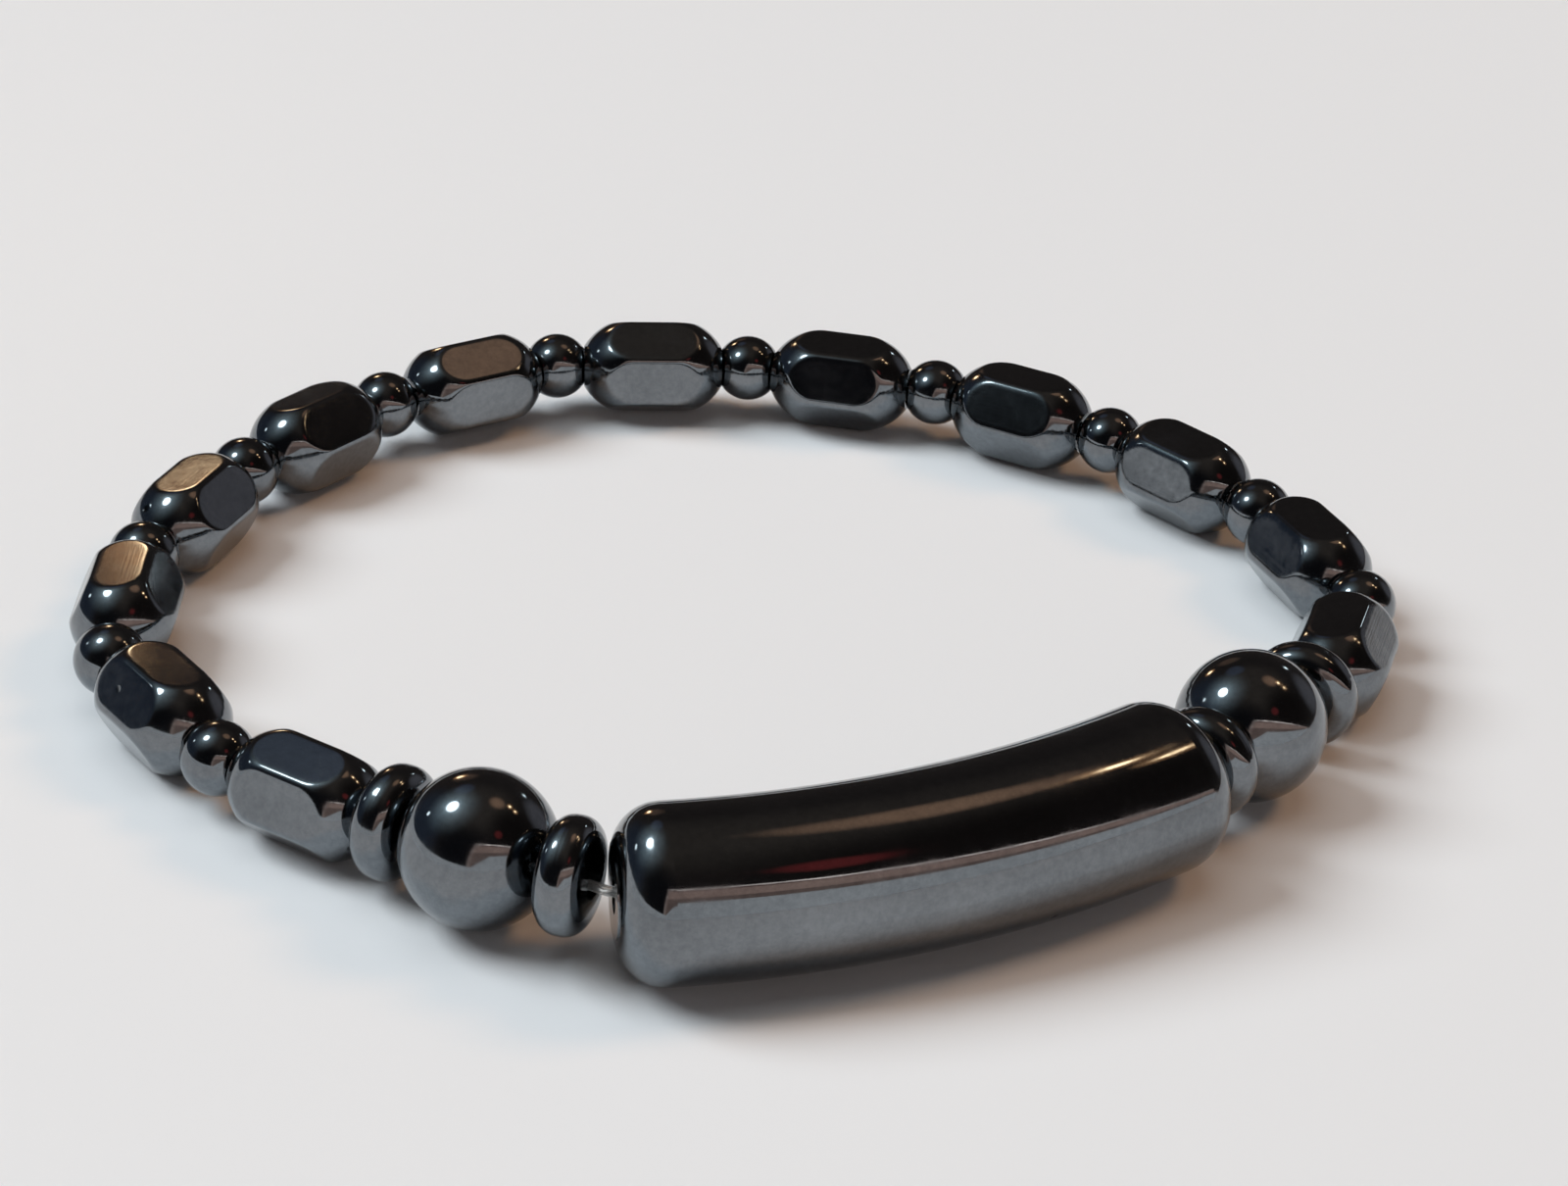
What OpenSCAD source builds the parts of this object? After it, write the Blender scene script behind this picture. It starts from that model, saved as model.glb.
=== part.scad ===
// Bracelet of polished hematite beads on a clear elastic thread, lying in a ring on a flat floor.
// Units are millimetres. The floor is z = 0, the origin is the middle of the ring on the floor,
// the long curved tube lies on the -y side (front).
// The beads are strung one after another: each row of the strand table sets one bead
// along its own heading, and the curved tube closes the ring.

/* [Curved tube] */
// diameter of the tube
tube_d = 8.9; // [7:0.1:11]
// how far the middle of the tube bows out from the line between its ends
tube_bow = 2.35; // [1:0.05:5]
// rounding of the rim at both ends of the tube
tube_edge = 2.4; // [0.4:0.1:4]
// diameter of the bore through the tube
tube_bore = 1.7; // [1:0.1:3]
// bare thread between the last disc and the right end of the tube
tube_gap = 0.45; // [0.1:0.05:2]

/* [Faceted barrels] */
// length of a barrel
barrel_l = 8.4; // [6:0.1:12]
// diameter over the ridges
barrel_d = 5.85; // [4:0.05:8]
// width across two opposite facets
barrel_flats = 5.18; // [4:0.02:8]
// radius of the curve from the ridges down to an end
barrel_curve = 3.45; // [2.5:0.05:6]
// diameter of the flat ring at an end
barrel_end = 2.5; // [1.6:0.1:4]
// depth a small round sinks into the seat at an end
seat_depth = 0.3; // [0.1:0.05:0.6]
// play of a small round in its seat
seat_play = 0.12; // [0.05:0.01:0.3]
// diameter of the bore through a barrel
barrel_bore = 1.2; // [0.8:0.1:2]

/* [Round beads] */
// diameter of a small round
small_d = 3.95; // [3:0.05:6]
// bore of a small round
small_bore = 1.1; // [0.8:0.1:2]
// width and depth of the countersink at both ends of its bore
small_mouth = 2.2; // [1.1:0.1:2.6]
small_sink = 1.1; // [0.2:0.1:1.5]
// diameter of a large round
large_d = 8.0; // [6:0.1:12]
// bore of a large round
large_bore = 1.5; // [0.8:0.1:2.5]

/* [Wheel discs] */
// diameter of a disc
disc_d = 5.95; // [4:0.05:9]
// thickness of a disc
disc_t = 2.4; // [1.5:0.1:4]
// rounding of the rim of a disc
disc_edge = 1.1; // [0.3:0.05:1.2]
// bore of a disc
disc_bore = 1.9; // [1:0.1:3]

/* [Thread] */
// diameter of the elastic thread
thread_d = 0.56; // [0.4:0.02:1]

/* [Ring] */
// how far right of the middle of the ring the left end of the tube lies
start_x = -5.25; // [-20:0.05:20]
// how far behind the middle of the ring the left end of the tube lies
start_y = -30.45; // [-50:0.05:-20]

/* [Hidden] */
$fn = 96;

DISC = 0;
LARGE = 1;
BARREL = 2;

// One row for each bead but the small rounds, clockwise from the left end of the tube:
// kind, heading in degrees, turn in degrees, lift and gap in millimetres.
// The turn is the roll of a barrel about its axis, or the turn of a disc away from its heading.
// The lift is above the floor for a barrel, above the mean height of its neighbours for a disc.
// The gap is bare thread before the bead.
strand = [
    [DISC,    147,  17,  0.40, 1.37],
    [LARGE,   147,   0,  0.00, 0.29],
    [DISC,    144,   8,  0.00, 0.12],
    [BARREL,  147, -14,  0.00, 0.24],
    [BARREL,  127,   4,  0.15, 0.00],
    [BARREL,   91,  -6,  0.22, 0.00],
    [BARREL,   70,  -6,  0.00, 0.00],
    [BARREL,   53, -12,  0.00, 0.00],
    [BARREL,   33,  30,  0.00, 0.00],
    [BARREL,    5,  28,  0.00, 0.00],
    [BARREL,  -11,   8,  0.10, 0.00],
    [BARREL,  -28,   0,  0.30, 0.00],
    [BARREL,  -46,  11,  0.00, 0.00],
    [BARREL,  -66,   4,  0.05, 0.00],
    [BARREL, -106,   9,  0.00, 0.40],
    [DISC,   -140,  28, -0.10, 0.70],
    [LARGE,  -120,   0,  0.00, 0.63],
    [DISC,   -125,  -1,  0.10, 0.12]
];
last = len(strand) - 1;

tube_r = tube_d / 2;
barrel_r = barrel_d / 2;
barrel_a = barrel_flats / 2;
small_r = small_d / 2;
large_r = large_d / 2;
disc_r = disc_d / 2;
// from the end of a barrel to the middle of the small round seated in it
reach = small_r - seat_depth;
// half of the straight part of a barrel
barrel_s = barrel_l / 2 - sqrt(pow(barrel_curve, 2) - pow(barrel_end / 2 - barrel_r + barrel_curve, 2));

function kind(i) = strand[i][0];
function heading(i) = strand[i][1];
function turn(i) = strand[i][2];
function lift(i) = strand[i][3];
function gap(i) = strand[i][4];
function is_barrel(i) = i >= 0 && i <= last && kind(i) == BARREL;
function size(i) = kind(i) == DISC ? disc_t : kind(i) == LARGE ? large_d : barrel_l;
function dir(a) = [cos(a), sin(a), 0];

// a barrel reaches to the middle of the small round between it and the next barrel
function before(i) = gap(i) + (is_barrel(i) && is_barrel(i - 1) ? reach : 0);
function after(i) = is_barrel(i) && is_barrel(i + 1) ? reach : 0;

// start of each row of the strand, seen from above
function joint(i) = i == 0 ? [start_x, start_y, 0]
    : joint(i - 1) + (before(i - 1) + size(i - 1) + after(i - 1)) * dir(heading(i - 1));

// height of the middle of a barrel that lies on the floor, for a roll r
ridge_a = 30 - acos(barrel_a / barrel_r);
function off_ridge(r) = 30 - abs((r + 390) % 60 - 30);
function rest(r) = barrel_r * cos(max(0, off_ridge(r) - ridge_a));

function lying(i) = kind(i) == LARGE ? large_r : kind(i) == BARREL ? rest(turn(i)) + lift(i) : 0;

// the tube is the neighbour before the first row and after the last
function side_z(i) = i < 0 || i > last ? tube_r : lying(i);
function height(i) = kind(i) == DISC ? (side_z(i - 1) + side_z(i + 1)) / 2 + lift(i) : lying(i);

function middle(i) = joint(i) + (before(i) + size(i) / 2) * dir(heading(i)) + [0, 0, height(i)];

// rows of the numbered pieces, with small round k seated in the far end of barrel k
function barrel_row(k) = k + 2;
function small_mid(k) = let (i = barrel_row(k), j = joint(i + 1))
    [j[0], j[1], (height(i) + height(i + 1)) / 2];
disc_rows = [0, 2, 15, 17];
large_rows = [1, 16];

// curved tube: an arc from its right end to its left end
tube_left = joint(0);
tube_right = joint(last + 1) + tube_gap * dir(heading(last));
chord = norm(tube_left - tube_right);
arc_r = (pow(chord, 2) / 4 + pow(tube_bow, 2)) / (2 * tube_bow);
arc_half = asin(chord / 2 / arc_r);
along = (tube_left - tube_right) / chord;
out = [-along[1], along[0], 0];
arc_mid = (tube_left + tube_right) / 2 - (arc_r - tube_bow) * out;
out_a = atan2(out[1], out[0]);
cap_a = asin(tube_edge / arc_r);
body_a = arc_half - cap_a;

// Curved tube: a ring arc, with the rims rounded off at both ends
module tube_ring() {
    difference() {
        circle(r = tube_r);
        circle(d = tube_bore);
    }
}

module rim_cut() {
    difference() {
        translate([tube_r - tube_edge, 0]) square([tube_edge + 1, tube_edge + 1]);
        translate([tube_r - tube_edge, 0]) circle(r = tube_edge);
    }
}

module curved_tube() {
    color([0.29, 0.28, 0.29])
    translate(arc_mid + [0, 0, tube_r]) rotate([0, 0, out_a])
    difference() {
        rotate([0, 0, -arc_half]) rotate_extrude(angle = 2 * arc_half) translate([arc_r, 0]) tube_ring();
        for (side = [-1, 1])
            rotate([0, 0, side * body_a]) translate([arc_r, 0, 0]) rotate([-side * 90, 0, 0])
                rotate_extrude() rim_cut();
    }
}

// Wheel discs: a short cylinder with a softly rounded rim
module disc_outline() {
    inner = disc_r - disc_edge;
    flat = disc_t / 2 - disc_edge;
    translate([0, -disc_t / 2]) square([inner, disc_t]);
    translate([0, -flat]) square([disc_r, 2 * flat]);
    for (s = [-1, 1]) translate([inner, s * flat]) circle(r = disc_edge);
}

module disc(k) {
    i = disc_rows[k - 1];
    color([0.27, 0.26, 0.27])
    translate(middle(i)) rotate([0, 0, heading(i) + turn(i)]) rotate([0, 90, 0])
    difference() {
        rotate_extrude() intersection() {
            disc_outline();
            translate([0, -disc_t]) square([disc_d, 2 * disc_t]);
        }
        translate([0, 0, -disc_t]) cylinder(h = 2 * disc_t, d = disc_bore);
    }
}

// Large rounds
module large_round(k) {
    i = large_rows[k - 1];
    color([0.3, 0.29, 0.3])
    translate(middle(i)) rotate([0, 0, heading(i)]) rotate([0, 90, 0])
    difference() {
        sphere(r = large_r);
        translate([0, 0, -large_d]) cylinder(h = 2 * large_d, d = large_bore);
    }
}

// Faceted barrels: a round barrel cut by six flats, with a seat for a small round at both ends
module barrel_outline() {
    translate([0, -barrel_s]) square([barrel_r, 2 * barrel_s]);
    for (s = [0, 1]) mirror([0, s]) intersection() {
        translate([barrel_r - barrel_curve, barrel_s]) circle(r = barrel_curve);
        translate([0, barrel_s]) square([barrel_r, barrel_l / 2 - barrel_s]);
    }
}

module faceted_barrel(k) {
    i = barrel_row(k);
    color([0.26, 0.25, 0.26])
    translate(middle(i)) rotate([0, 0, heading(i)]) rotate([turn(i), 0, 0]) rotate([0, 90, 0])
    difference() {
        intersection() {
            rotate_extrude() barrel_outline();
            rotate([0, 0, 30]) cylinder(h = barrel_l + 2, r = barrel_a / cos(30), center = true, $fn = 6);
        }
        translate([0, 0, -barrel_l]) cylinder(h = 2 * barrel_l, d = barrel_bore);
        for (s = [-1, 1]) translate([0, 0, s * (barrel_l / 2 + reach)]) sphere(r = small_r + seat_play);
    }
}

// Small rounds: the bore halves the bend between the two barrels and is countersunk at both ends
function small_heading(k) = let (i = barrel_row(k)) (heading(i) + heading(i + 1)) / 2;

module small_round(k) {
    color([0.31, 0.3, 0.31])
    translate(small_mid(k)) rotate([0, 0, small_heading(k)]) rotate([0, 90, 0])
    difference() {
        sphere(r = small_r);
        translate([0, 0, -small_d]) cylinder(h = 2 * small_d, d = small_bore);
        for (s = [0, 1]) mirror([0, 0, s]) translate([0, 0, small_r - small_sink])
            cylinder(h = small_sink, d1 = small_bore, d2 = small_mouth);
    }
}

// Elastic thread: one closed loop through all bores.
// It keeps to the axis of a bead well inside both mouths, and passes the middle of a disc.
function pass(mid, h, a) = [for (s = [-1, 1]) mid + s * h * dir(a)];
function inside(i) = kind(i) == DISC ? [middle(i)] : pass(middle(i), size(i) / 2 - 0.9, heading(i));
function with_round(i) = is_barrel(i) && is_barrel(i + 1)
    ? concat(inside(i), pass(small_mid(i - 2), 0.8, small_heading(i - 2))) : inside(i);
tube_steps = 8;
tube_path = [for (s = [0 : tube_steps]) let (a = out_a - arc_half + 2 * arc_half * s / tube_steps)
    arc_mid + arc_r * dir(a) + [0, 0, tube_r]];
// the steps of the arc, turned round when they start at the left end
tube_run = norm(tube_path[0] - tube_right) < norm(tube_path[0] - tube_left)
    ? tube_path : [for (s = [tube_steps : -1 : 0]) tube_path[s]];
thread_path = concat([for (i = [0 : last]) each with_round(i)], tube_run);
thread_n = len(thread_path);
thread_sides = 8;

function unit(v) = v / norm(v);
function path_dir(i) = unit(thread_path[(i + 1) % thread_n] - thread_path[(i + thread_n - 1) % thread_n]);
function thread_ring(i) = let (t = path_dir(i), n = unit(cross([0, 0, 1], t)), b = cross(t, n))
    [for (s = [0 : thread_sides - 1]) let (a = 360 * s / thread_sides)
        thread_path[i] + thread_d / 2 * (cos(a) * n + sin(a) * b)];
function at(i, s) = (i % thread_n) * thread_sides + s % thread_sides;

module elastic_thread() {
    color([0.85, 0.87, 0.88])
    polyhedron(
        points = [for (i = [0 : thread_n - 1]) each thread_ring(i)],
        faces = [for (i = [0 : thread_n - 1]) for (s = [0 : thread_sides - 1])
            each [[at(i, s), at(i + 1, s), at(i, s + 1)], [at(i, s + 1), at(i + 1, s), at(i + 1, s + 1)]]]);
}

curved_tube();
disc(1);  // disc_1
disc(2);  // disc_2
disc(3);  // disc_3
disc(4);  // disc_4
large_round(1);  // large_round_1
large_round(2);  // large_round_2
faceted_barrel(1);  // faceted_barrel_01
faceted_barrel(2);  // faceted_barrel_02
faceted_barrel(3);  // faceted_barrel_03
faceted_barrel(4);  // faceted_barrel_04
faceted_barrel(5);  // faceted_barrel_05
faceted_barrel(6);  // faceted_barrel_06
faceted_barrel(7);  // faceted_barrel_07
faceted_barrel(8);  // faceted_barrel_08
faceted_barrel(9);  // faceted_barrel_09
faceted_barrel(10);  // faceted_barrel_10
faceted_barrel(11);  // faceted_barrel_11
faceted_barrel(12);  // faceted_barrel_12
small_round(1);  // small_round_01
small_round(2);  // small_round_02
small_round(3);  // small_round_03
small_round(4);  // small_round_04
small_round(5);  // small_round_05
small_round(6);  // small_round_06
small_round(7);  // small_round_07
small_round(8);  // small_round_08
small_round(9);  // small_round_09
small_round(10);  // small_round_10
small_round(11);  // small_round_11
elastic_thread();
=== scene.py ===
import math

import bpy
import numpy as np
from mathutils import Matrix, Vector


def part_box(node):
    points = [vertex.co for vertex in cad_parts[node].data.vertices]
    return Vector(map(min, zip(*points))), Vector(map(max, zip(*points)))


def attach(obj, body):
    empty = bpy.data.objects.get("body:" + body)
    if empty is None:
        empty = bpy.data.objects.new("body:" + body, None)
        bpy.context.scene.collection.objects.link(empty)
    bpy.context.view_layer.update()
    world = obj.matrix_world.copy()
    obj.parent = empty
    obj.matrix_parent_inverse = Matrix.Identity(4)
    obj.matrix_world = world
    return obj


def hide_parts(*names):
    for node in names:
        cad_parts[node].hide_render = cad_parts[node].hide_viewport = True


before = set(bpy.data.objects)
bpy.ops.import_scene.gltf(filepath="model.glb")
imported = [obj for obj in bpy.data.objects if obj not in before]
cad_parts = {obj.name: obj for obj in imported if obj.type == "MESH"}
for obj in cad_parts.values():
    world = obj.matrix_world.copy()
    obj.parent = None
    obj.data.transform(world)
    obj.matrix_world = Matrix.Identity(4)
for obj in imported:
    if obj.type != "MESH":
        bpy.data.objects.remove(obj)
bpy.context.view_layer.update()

# Bracelet of polished hematite beads on a clear elastic thread, seen on a plain pale floor.
# Bead sizes and the camera's place are in millimetres, which MM turns into metres.
# The floor, lamps and bump heights are in metres, and the scales of noise are per metre.
# The frame gives every bead's place.
MM = 0.001
scene = bpy.context.scene

# Barrel sizes, as the solids have them
BARREL_LENGTH = 8.4
FACETS = 6
RIDGE_RADIUS = 2.925
FACET_DISTANCE = 2.59
CURVE_RADIUS = 3.45
END_RADIUS = 1.25
BORE_RADIUS = 0.6
BALL_RADIUS = 1.975
SEAT_PLAY = 0.12
SEAT_DEPTH = 0.3
SEAT_RADIUS = BALL_RADIUS + SEAT_PLAY
SEAT_CENTRE = BARREL_LENGTH / 2 + BALL_RADIUS - SEAT_DEPTH

# Heading of each barrel's axis seen from above, and its roll about that axis, in degrees
BARREL_HEADINGS = (147, 127, 91, 70, 53, 33, 5, -11, -28, -46, -66, -106)
BARREL_ROLLS = (-14, 4, -6, -6, -12, 30, 28, 8, 0, 11, 4, 9)

# Width over which the edges of the flats are softened, and the angle in degrees that stays sharp
EDGE_SOFTNESS = 0.09
SHARP_ANGLE = 38

# Mesh steps of a barrel: round it, and along its outside, seat and bore
ROUND_STEPS = 144
OUTSIDE_STEPS = 84
SEAT_STEPS = 10
BORE_STEPS = 6

# Thread: distance in metres at which its points are joined, and how often it is subdivided
WELD_DISTANCE = 0.00001
THREAD_LEVELS = 2

# Hematite: colours, the thin coat that gives the haze, and bump heights
HEMATITE_DARK = (0.145, 0.158, 0.171, 1)
HEMATITE_PALE = (0.228, 0.246, 0.262, 1)
PIT_COLOUR = (0.02, 0.018, 0.017, 1)
COAT_WEIGHT = 0.08
COAT_ROUGHNESS = 0.38
WAVE_HEIGHT = 0.00003
GRIT_HEIGHT = 0.0000016
BRUSH_HEIGHT = 0.000004
PIT_DEPTH = 0.00004
# noise is stretched along a barrel's axis for the brushed flats
BRUSH_SCALES = (60, 9000, 9000)
# share of a spot's radius that is full
SPOT_CORE = 0.4

# Elastic
ELASTIC_COLOUR = (0.95, 0.95, 0.93, 1)
ELASTIC_CLEARNESS = 0.9
ELASTIC_IOR = 1.48
STREAK_HEIGHT = 0.00002

# Floor
FLOOR_COLOUR = (0.815, 0.84, 0.855, 1)
FLOOR_ROUGHNESS = 0.6
FLOOR_HALF = 3.0

# Camera at the photograph's viewing angle: angles in degrees, lens and sensor in millimetres
CAMERA_PLACE = (2.16, -186.6, 105.8)
CAMERA_PITCH = 28.45
CAMERA_ROLL = -2.6
CAMERA_LENS = 90
CAMERA_SENSOR = 36
CAMERA_NEAREST = 0.01


# Node helpers
def new_material(name):
    """An empty node material with a Principled shader on its output."""
    material = bpy.data.materials.new(name)
    material.use_nodes = True
    tree = material.node_tree
    tree.nodes.clear()
    shader = tree.nodes.new("ShaderNodeBsdfPrincipled")
    output = tree.nodes.new("ShaderNodeOutputMaterial")
    tree.links.new(shader.outputs["BSDF"], output.inputs["Surface"])
    return material, tree, shader


def add(tree, kind, **settings):
    """A node of a kind, with its attributes set."""
    node = tree.nodes.new(kind)
    for key, value in settings.items():
        setattr(node, key, value)
    return node


def feed(tree, value, socket):
    """Links a socket to another one, or sets it to a plain value."""
    if isinstance(value, bpy.types.NodeSocket):
        tree.links.new(value, socket)
    else:
        socket.default_value = value


def attribute(tree, name, output="Fac"):
    """A point attribute of the mesh."""
    return add(tree, "ShaderNodeAttribute", attribute_name=name).outputs[output]


def stretch(tree, source, scale):
    """Coordinates multiplied by a scale along each axis."""
    mapping = add(tree, "ShaderNodeMapping")
    mapping.inputs["Scale"].default_value = scale
    tree.links.new(source, mapping.inputs["Vector"])
    return mapping.outputs["Vector"]


def noise(tree, source, scale, detail, roughness=0.5):
    """Soft noise from about 0.3 to 0.7."""
    node = add(tree, "ShaderNodeTexNoise")
    node.inputs["Scale"].default_value = scale
    node.inputs["Detail"].default_value = detail
    node.inputs["Roughness"].default_value = roughness
    tree.links.new(source, node.inputs["Vector"])
    return node.outputs["Fac"]


def ramp(tree, source, low, high, from_low, from_high):
    """A value moved from one range to another, kept inside it."""
    node = add(tree, "ShaderNodeMapRange")
    node.inputs["From Min"].default_value = from_low
    node.inputs["From Max"].default_value = from_high
    node.inputs["To Min"].default_value = low
    node.inputs["To Max"].default_value = high
    tree.links.new(source, node.inputs["Value"])
    return node.outputs["Result"]


def bump(tree, height, distance, strength, below=None):
    """A surface direction tilted by a height, on top of another one."""
    node = add(tree, "ShaderNodeBump")
    node.inputs["Strength"].default_value = strength
    node.inputs["Distance"].default_value = distance
    tree.links.new(height, node.inputs["Height"])
    if below is not None:
        tree.links.new(below, node.inputs["Normal"])
    return node.outputs["Normal"]


def combine(tree, operation, a, b=0.0):
    """Two values joined by a math operation; the second may be a plain number."""
    node = add(tree, "ShaderNodeMath", operation=operation)
    tree.links.new(a, node.inputs[0])
    feed(tree, b, node.inputs[1])
    return node.outputs["Value"]


def tint(tree, amount, low, high):
    """A colour between two, by an amount from 0 to 1; the first may come from another node."""
    node = add(tree, "ShaderNodeMix", data_type="RGBA")
    tree.links.new(amount, node.inputs[0])
    feed(tree, low, node.inputs[6])
    node.inputs[7].default_value = high
    return node.outputs[2]


def spots(tree, place, per_metre, radius):
    """1 at the middle of small scattered spots, 0 outside them; the radius is in cells of the scatter."""
    node = add(tree, "ShaderNodeTexVoronoi")
    node.inputs["Scale"].default_value = per_metre
    tree.links.new(place, node.inputs["Vector"])
    core = radius * SPOT_CORE
    return ramp(tree, node.outputs["Distance"], low=1.0, high=0.0, from_low=core, from_high=radius)


# Materials
def scattered_pits(tree, place):
    """1 in the few small pits that a broad noise picks out, 0 elsewhere."""
    pits = spots(tree, place, per_metre=330, radius=0.10)
    picked = noise(tree, place, scale=140, detail=0)
    picked = ramp(tree, picked, low=0.0, high=1.0, from_low=0.56, from_high=0.60)
    return combine(tree, "MULTIPLY", pits, picked)


def hematite_colour(tree, place, pits):
    """Dark grey, mottled by a cloud and by fine speckles, and darker in the pits."""
    cloud = noise(tree, place, scale=170, detail=4, roughness=0.6)
    cloud = ramp(tree, cloud, low=0.0, high=0.5, from_low=0.3, from_high=0.7)
    speckles = noise(tree, place, scale=2400, detail=5, roughness=0.75)
    speckles = ramp(tree, speckles, low=0.0, high=0.5, from_low=0.36, from_high=0.64)
    clean = tint(tree, combine(tree, "ADD", cloud, speckles), HEMATITE_DARK, HEMATITE_PALE)
    return tint(tree, pits, clean, PIT_COLOUR)


def thin_hairlines(tree, place):
    """Wandering thin lines where a noise passes its middle, kept in a few places."""
    kept = noise(tree, place, scale=210, detail=2)
    kept = ramp(tree, kept, low=0.0, high=1.0, from_low=0.56, from_high=0.60)
    wander = combine(tree, "SUBTRACT", noise(tree, place, scale=90, detail=1), 0.5)
    wander = combine(tree, "ABSOLUTE", wander)
    lines = ramp(tree, wander, low=0.10, high=0.0, from_low=0.0, from_high=0.0018)
    return combine(tree, "MULTIPLY", lines, kept)


def hematite_roughness(tree, place, grains, flat):
    """Smears everywhere, a grainy grind on the flats, and hairlines."""
    smears = noise(tree, place, scale=330, detail=5, roughness=0.65)
    smears = ramp(tree, smears, low=0.035, high=0.16, from_low=0.38, from_high=0.72)
    ground = ramp(tree, grains, low=0.02, high=0.09, from_low=0.3, from_high=0.7)
    rough = combine(tree, "ADD", smears, combine(tree, "MULTIPLY", flat, ground))
    return combine(tree, "ADD", rough, thin_hairlines(tree, place))


def hematite_relief(tree, place, grains, flat, pits):
    """Broad faint waves, fine grit, brushed flats and sunk pits, one on top of another."""
    waves = bump(tree, noise(tree, place, scale=300, detail=1), WAVE_HEIGHT, strength=0.35)
    grit = bump(tree, grains, GRIT_HEIGHT, strength=0.5, below=waves)
    along = stretch(tree, attribute(tree, "lay", "Vector"), BRUSH_SCALES)
    strokes = combine(tree, "MULTIPLY", noise(tree, along, scale=1.0, detail=2), flat)
    brushed = bump(tree, strokes, BRUSH_HEIGHT, strength=0.6, below=grit)
    return bump(tree, combine(tree, "MULTIPLY", pits, -1.0), PIT_DEPTH, strength=0.8, below=brushed)


def polished_hematite():
    """Dark metallic polish with a thin hazy coat; the flats of the barrels are ground and brushed."""
    material, tree, shader = new_material("polished_hematite")
    shader.inputs["Metallic"].default_value = 1.0
    shader.inputs["Coat Weight"].default_value = COAT_WEIGHT
    shader.inputs["Coat Roughness"].default_value = COAT_ROUGHNESS
    place = add(tree, "ShaderNodeTexCoord").outputs["Object"]
    flat = attribute(tree, "flatness")
    grains = noise(tree, place, scale=2600, detail=3, roughness=0.6)
    pits = scattered_pits(tree, place)
    tree.links.new(hematite_colour(tree, place, pits), shader.inputs["Base Color"])
    tree.links.new(hematite_roughness(tree, place, grains, flat), shader.inputs["Roughness"])
    tree.links.new(hematite_relief(tree, place, grains, flat, pits), shader.inputs["Normal"])
    return material


def clear_elastic():
    """Clear elastic with a soft gloss."""
    material, tree, shader = new_material("clear_elastic")
    shader.inputs["Base Color"].default_value = ELASTIC_COLOUR
    shader.inputs["Transmission Weight"].default_value = ELASTIC_CLEARNESS
    shader.inputs["IOR"].default_value = ELASTIC_IOR
    place = add(tree, "ShaderNodeTexCoord").outputs["Object"]
    streaks = noise(tree, place, scale=3000, detail=2)
    rough = ramp(tree, streaks, low=0.04, high=0.2, from_low=0.3, from_high=0.7)
    tree.links.new(rough, shader.inputs["Roughness"])
    tree.links.new(bump(tree, streaks, STREAK_HEIGHT, strength=0.4), shader.inputs["Normal"])
    return material


def pale_floor():
    """A plain pale floor."""
    material, _, shader = new_material("pale_floor")
    shader.inputs["Base Color"].default_value = FLOOR_COLOUR
    shader.inputs["Roughness"].default_value = FLOOR_ROUGHNESS
    return material


# Barrel surface
def barrel_profile():
    """Points (along the axis, out from it) once round the outside, one seat, the bore and the other seat."""
    half = BARREL_LENGTH / 2
    straight = half - math.sqrt(CURVE_RADIUS ** 2 - (END_RADIUS - RIDGE_RADIUS + CURVE_RADIUS) ** 2)
    lip = math.asin((half - straight) / CURVE_RADIUS)
    flat_share = straight / (straight + CURVE_RADIUS * lip)
    flat_steps = max(2, round(OUTSIDE_STEPS * flat_share))
    dome_steps = (OUTSIDE_STEPS - flat_steps) // 2
    dome = [(straight + CURVE_RADIUS * math.sin(a), RIDGE_RADIUS - CURVE_RADIUS * (1 - math.cos(a)))
            for a in np.linspace(0, lip, dome_steps + 1)]
    mouth = math.asin(BORE_RADIUS / SEAT_RADIUS)
    rim = math.asin(END_RADIUS / SEAT_RADIUS)
    seat = [(SEAT_CENTRE - SEAT_RADIUS * math.cos(a), SEAT_RADIUS * math.sin(a))
            for a in np.linspace(rim, mouth, SEAT_STEPS + 1)[1:]]
    right = dome + seat
    left = [(-x, r) for x, r in reversed(right)]
    outside = [(x, RIDGE_RADIUS) for x in np.linspace(-straight, straight, flat_steps + 1)[1:-1]]
    bore = [(x, BORE_RADIUS) for x in np.linspace(seat[-1][0], -seat[-1][0], BORE_STEPS + 1)[1:-1]]
    return left + outside + right + bore


def soft_least(a, b, width):
    """The smaller of two values, blended where they meet."""
    near = np.maximum(width - np.abs(a - b), 0) / width
    return np.minimum(a, b) - near * near * width / 4


def closed_grid_faces(rows, columns):
    """Four-sided faces of a grid of points that closes on itself both ways."""
    row, column = np.meshgrid(np.arange(rows), np.arange(columns), indexing="ij")
    next_row = (row + 1) % rows
    next_column = (column + 1) % columns
    corners = (row * columns + column, row * columns + next_column,
               next_row * columns + next_column, next_row * columns + column)
    return np.stack(corners, -1).reshape(-1, 4)


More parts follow.
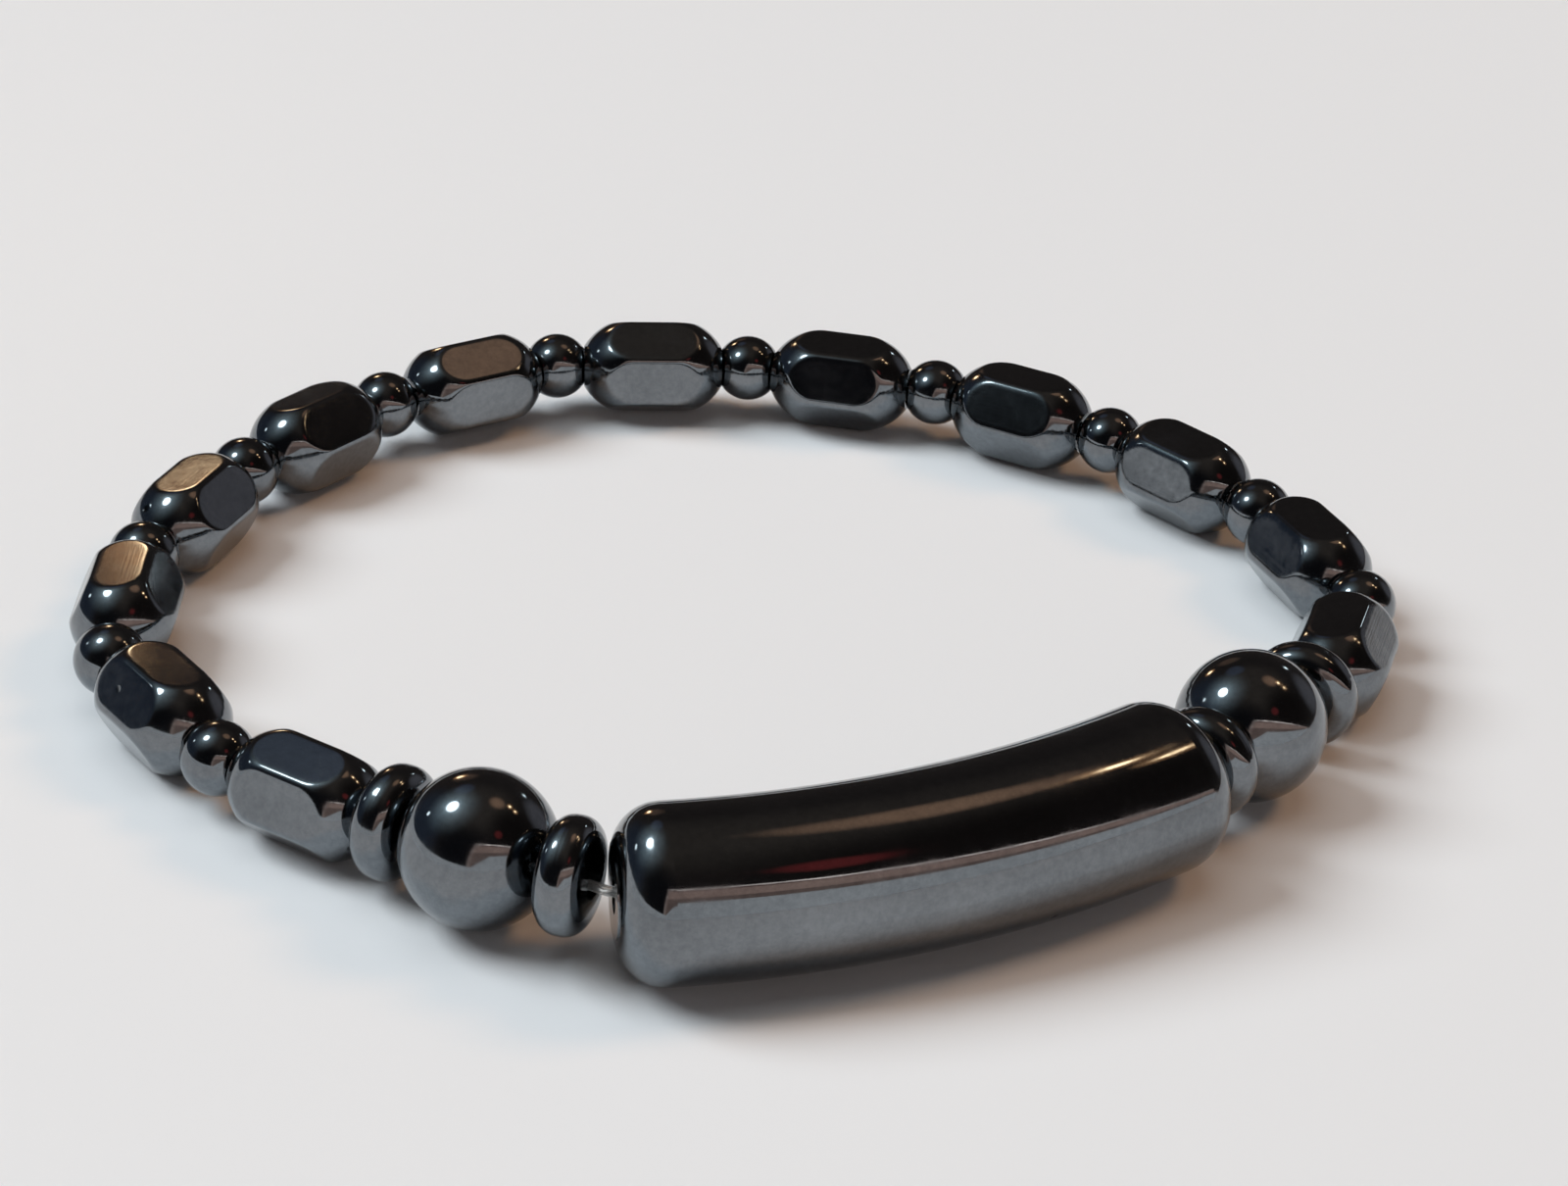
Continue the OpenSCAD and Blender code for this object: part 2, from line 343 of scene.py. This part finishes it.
def barrel_mesh(name, centre, heading, roll):
    """A closed bead: the profile turned round the axis, cut by six facets with softened edges."""
    profile = np.array(barrel_profile())
    angles = np.arange(ROUND_STEPS) * 2 * math.pi / ROUND_STEPS
    x, angle = np.meshgrid(profile[:, 0], angles, indexing="ij")
    radius = np.repeat(profile[:, 1][:, None], ROUND_STEPS, axis=1)

    # distance to the nearest facet in each direction from the axis
    first = math.radians(90 + roll)
    half_facet = math.pi / FACETS
    from_facet = (angle - first + half_facet) % (2 * half_facet) - half_facet
    facet = FACET_DISTANCE / np.cos(from_facet)
    cut = soft_least(radius, facet, EDGE_SOFTNESS)
    flatness = np.clip((radius - facet) / EDGE_SOFTNESS + 0.5, 0, 1)

    h = math.radians(heading)
    axis = np.array([math.cos(h), math.sin(h), 0])
    side = np.array([-math.sin(h), math.cos(h), 0])
    up = np.array([0, 0, 1.0])
    points = (x[..., None] * axis + (cut * np.cos(angle))[..., None] * side
              + (cut * np.sin(angle))[..., None] * up) * MM + np.array(centre)
    mesh = bpy.data.meshes.new(name)
    mesh.from_pydata(points.reshape(-1, 3).tolist(), [], closed_grid_faces(*x.shape).tolist())

    # for the material: where the flats are, and coordinates that follow the barrel's axis
    mesh.attributes.new("flatness", "FLOAT", "POINT").data.foreach_set("value", flatness.ravel())
    lay = np.stack([x, radius * np.cos(angle), radius * np.sin(angle)], -1) * MM
    mesh.attributes.new("lay", "FLOAT_VECTOR", "POINT").data.foreach_set("vector", lay.ravel())
    mesh.shade_smooth()
    mesh.set_sharp_from_angle(angle=math.radians(SHARP_ANGLE))
    mesh.validate()
    return mesh


# Pieces
polished = polished_hematite()
elastic = clear_elastic()
for name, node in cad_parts.items():
    is_thread = name == "elastic_thread"
    node.data.materials.clear()
    node.data.materials.append(elastic if is_thread else polished)

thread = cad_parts["elastic_thread"]
weld = thread.modifiers.new("weld", "WELD")
weld.merge_threshold = WELD_DISTANCE
finer = thread.modifiers.new("finer", "SUBSURF")
finer.levels = THREAD_LEVELS
finer.render_levels = THREAD_LEVELS

for number, (heading, roll) in enumerate(zip(BARREL_HEADINGS, BARREL_ROLLS), start=1):
    node_name = f"faceted_barrel_{number:02d}"
    piece_name = f"barrel_{number:02d}"
    low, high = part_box(node_name)
    mesh = barrel_mesh(piece_name, (low + high) / 2, heading, roll)
    mesh.materials.append(polished)
    piece = bpy.data.objects.new(piece_name, mesh)
    scene.collection.objects.link(piece)
    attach(piece, "root")
    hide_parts(node_name)

# Floor under the beads
floor_mesh = bpy.data.meshes.new("floor")
floor_corners = [(x * FLOOR_HALF, y * FLOOR_HALF, 0) for x, y in ((-1, -1), (1, -1), (1, 1), (-1, 1))]
floor_mesh.from_pydata(floor_corners, [], [(0, 1, 2, 3)])
floor_mesh.materials.append(pale_floor())
floor = bpy.data.objects.new("floor", floor_mesh)
scene.collection.objects.link(floor)


# Room that the beads mirror. A direction is an azimuth (0 is +Y, 90 is +X) and an elevation in degrees
def heading_to(azimuth, elevation):
    """A direction of length 1."""
    a = math.radians(azimuth)
    e = math.radians(elevation)
    return Vector((math.cos(e) * math.sin(a), math.cos(e) * math.cos(a), math.sin(e)))


class Sky:
    """Lays colours over each other by direction, on black."""

    def __init__(self, tree):
        self.tree = tree
        self.direction = add(tree, "ShaderNodeTexCoord").outputs["Generated"]
        self.total = (0, 0, 0, 1)

    def along(self, vector):
        """How far the direction goes along a vector."""
        node = add(self.tree, "ShaderNodeVectorMath", operation="DOT_PRODUCT")
        self.tree.links.new(self.direction, node.inputs[0])
        node.inputs[1].default_value = vector
        return node.outputs["Value"]

    def smooth(self, source, start, end):
        """0 at the start and 1 at the end, with a soft step between them."""
        node = add(self.tree, "ShaderNodeMapRange", interpolation_type="SMOOTHSTEP")
        node.inputs["From Min"].default_value = start
        node.inputs["From Max"].default_value = end
        self.tree.links.new(source, node.inputs["Value"])
        return node.outputs["Result"]

    def below(self, plane, softness):
        """1 below a tilted plane through the middle, given by its upward normal, and 0 above it."""
        return self.smooth(self.along(plane), softness, 0)

    def lay(self, amount, colour):
        """Mixes a colour over what is there, by an amount from 0 to 1."""
        self.total = tint(self.tree, amount, self.total, (*colour, 1))

    def patch(self, azimuth, elevation, inner, outer, colour):
        """A round patch, full inside one angle and gone outside another."""
        off = self.along(heading_to(azimuth, elevation))
        self.lay(self.smooth(off, math.cos(math.radians(outer)), math.cos(math.radians(inner))), colour)


ROOM_COLOUR = (0.036, 0.030, 0.028)
ZENITH_COLOUR = (0.080, 0.066, 0.056)
FAR_GROUND = (0.74, 0.75, 0.76)
HORIZON_SOFTNESS = 0.012

# Soft patches: azimuth, elevation, the radii in degrees where one is full and gone, and colour
PATCHES = (
    # dark, behind the camera and on the right
    (-160, 15, 20, 60, (0.010, 0.010, 0.012)),
    (110, 35, 10, 45, (0.016, 0.013, 0.012)),
    # dim and bluish, on the left
    (-75, 12, 15, 45, (0.040, 0.052, 0.075)),
    # small ones beyond the beads, bluish and brown
    (-27, 50, 3, 12, (0.10, 0.115, 0.155)),
    (-15, 24, 2, 10, (0.17, 0.11, 0.08)),
    # beyond the beads on the right, grey below and orange above
    (56, 14, 5, 22, (0.17, 0.165, 0.18)),
    (53, 66, 3, 11, (0.52, 0.31, 0.20)),
    # small and red, behind the camera on the right
    (136, 46, 2, 7, (0.24, 0.04, 0.04)),
)

world = bpy.data.worlds.new("room")
scene.world = world
world.use_nodes = True
room = world.node_tree
sky = Sky(room)
height = sky.along((0, 0, 1))
sky.lay(sky.smooth(height, start=-1.0, end=-0.99), ROOM_COLOUR)
sky.lay(sky.smooth(height, start=0.6, end=1.0), ZENITH_COLOUR)
for azimuth, elevation, inner, outer, colour in PATCHES:
    sky.patch(azimuth, elevation, inner, outer, colour)


def fill_below(slope, amount, colour, softness=HORIZON_SOFTNESS):
    """Colours what lies below a plane that rises towards -Y by a slope, by an amount from 0 to 1."""
    edge = sky.below((0, slope, 1), softness)
    sky.lay(combine(room, "MULTIPLY", edge, amount), colour)


# Behind the camera on the right: a thin broken bright line above darker and paler warm strips.
# Each one is laid over the lower part of the one before it.
behind = sky.smooth(sky.along(heading_to(azimuth=135, elevation=0)), start=0.50, end=0.66)
breaks = noise(room, sky.direction, scale=9, detail=3)
breaks = ramp(room, breaks, low=0.35, high=1.0, from_low=0.35, from_high=0.6)
broken = combine(room, "MULTIPLY", behind, breaks)
fill_below(slope=0.80, amount=broken, colour=(2.6, 2.2, 2.0))
fill_below(slope=0.755, amount=behind, colour=(0.22, 0.13, 0.11))
fill_below(slope=0.70, amount=behind, colour=(0.62, 0.42, 0.35), softness=0.03)
fill_below(slope=0.50, amount=behind, colour=(0.30, 0.21, 0.18))

# Pale far ground: it rises behind the camera, cut off towards the left, and its horizon all round
# is tilted up a little behind the camera on the left
rising_right = sky.below((-0.60, 0.17, 1), 0.02)
fill_below(slope=0.39, amount=rising_right, colour=FAR_GROUND)
sky.lay(sky.below((0.100, 0.084, 1), HORIZON_SOFTNESS), FAR_GROUND)
room.links.new(sky.total, room.nodes["Background"].inputs["Color"])

# Lamp colours
COOL = (0.86, 0.97, 1.0)
TEAL = (0.60, 0.80, 0.88)
WARM = (1.0, 0.72, 0.42)
AMBER = (1.0, 0.50, 0.22)

# Halo: how many rings it has, the gain on their brightness, and how they fade outwards
HALO_RINGS = 12
HALO_GAIN = 4
HALO_FADE = 0.93
HALO_CURVE = 1.6


def lamp(name, place, size, power, colour, mirrored):
    """A round soft light aimed at the middle, which the beads mirror or which lights the floor."""
    data = bpy.data.lights.new(name, "AREA")
    data.shape = "DISK"
    data.size = size
    data.energy = power
    data.color = colour
    item = bpy.data.objects.new(name, data)
    item.location = place
    item.rotation_mode = "QUATERNION"
    item.rotation_quaternion = (-Vector(place)).to_track_quat("-Z", "Y")
    scene.collection.objects.link(item)
    item.visible_camera = False
    item.visible_glossy = mirrored
    item.visible_diffuse = not mirrored


def glow(name, place, discs):
    """A lamp as the beads mirror it: discs round one middle, each with a size, a brightness and a colour."""
    for size, brightness, colour in discs:
        area = math.pi * size * size / 4
        lamp(name, place, size, brightness * math.pi * area, colour, mirrored=True)


def halo(inner, outer, brightness, colour):
    """Discs of growing size that fade outwards in small steps."""
    discs = []
    for ring in range(HALO_RINGS):
        share = ring / (HALO_RINGS - 1)
        size = inner * (outer / inner) ** share
        fade = (1 - share * HALO_FADE) ** HALO_CURVE
        discs.append((size, brightness * HALO_GAIN / HALO_RINGS * fade, colour))
    return discs


# Lamps that light the floor: name, place, size, power in watts and colour
FLOOR_LAMPS = (
    ("key", heading_to(-80, 46) * 3.6, 2.2, 118, (0.90, 0.96, 1.0)),
    ("overhead", (-0.3, 0.3, 3.9), 3.6, 36, (0.95, 0.98, 1.0)),
    ("warm_side", heading_to(66, 45) * 3.0, 0.9, 19, (1.0, 0.55, 0.28)),
)
for name, place, size, power, colour in FLOOR_LAMPS:
    lamp(name, place, size, power, colour, mirrored=False)

# Glows that only the beads mirror: name, place, and the size, brightness and colour of each disc
GLOWS = (
    ("cool", (-0.118, 0.003, 0.172), ((0.052, 9.0, COOL), *halo(0.060, 0.30, 3.0, TEAL))),
    ("cool_dot", (-0.250, 0.060, 0.125), ((0.022, 4.0, COOL),)),
    ("warm_far", (-0.059, 0.120, 0.0615), ((0.013, 9.0, WARM), (0.019, 1.6, AMBER), (0.027, 0.5, AMBER))),
    ("warm_right", (0.213, 0.086, 0.328), ((0.021, 9.0, WARM), (0.034, 1.2, AMBER), (0.056, 0.4, AMBER))),
    ("warm_right_low", (0.245, 0.060, 0.285), ((0.016, 9.0, WARM), (0.028, 1.2, AMBER), (0.048, 0.4, AMBER))),
    ("white_right", heading_to(36, 25) * 0.4, ((0.020, 7.0, COOL), (0.034, 0.6, COOL))),
)
for name, place, discs in GLOWS:
    glow(name, place, discs)

# Camera
pitch = math.radians(CAMERA_PITCH)
roll = math.radians(CAMERA_ROLL)
forward = Vector((0, math.cos(pitch), -math.sin(pitch)))
right = Vector((1, 0, 0))
down = forward.cross(right)
right_rolled = math.cos(roll) * right + math.sin(roll) * down
down_rolled = math.cos(roll) * down - math.sin(roll) * right
turned = Matrix((right_rolled, -down_rolled, -forward)).transposed()
camera_data = bpy.data.cameras.new("camera")
camera_data.lens = CAMERA_LENS
camera_data.sensor_width = CAMERA_SENSOR
camera_data.clip_start = CAMERA_NEAREST
camera = bpy.data.objects.new("camera", camera_data)
camera.matrix_world = Matrix.Translation(Vector(CAMERA_PLACE) * MM) @ turned.to_4x4()
scene.collection.objects.link(camera)
scene.camera = camera
scene.view_settings.view_transform = "Standard"
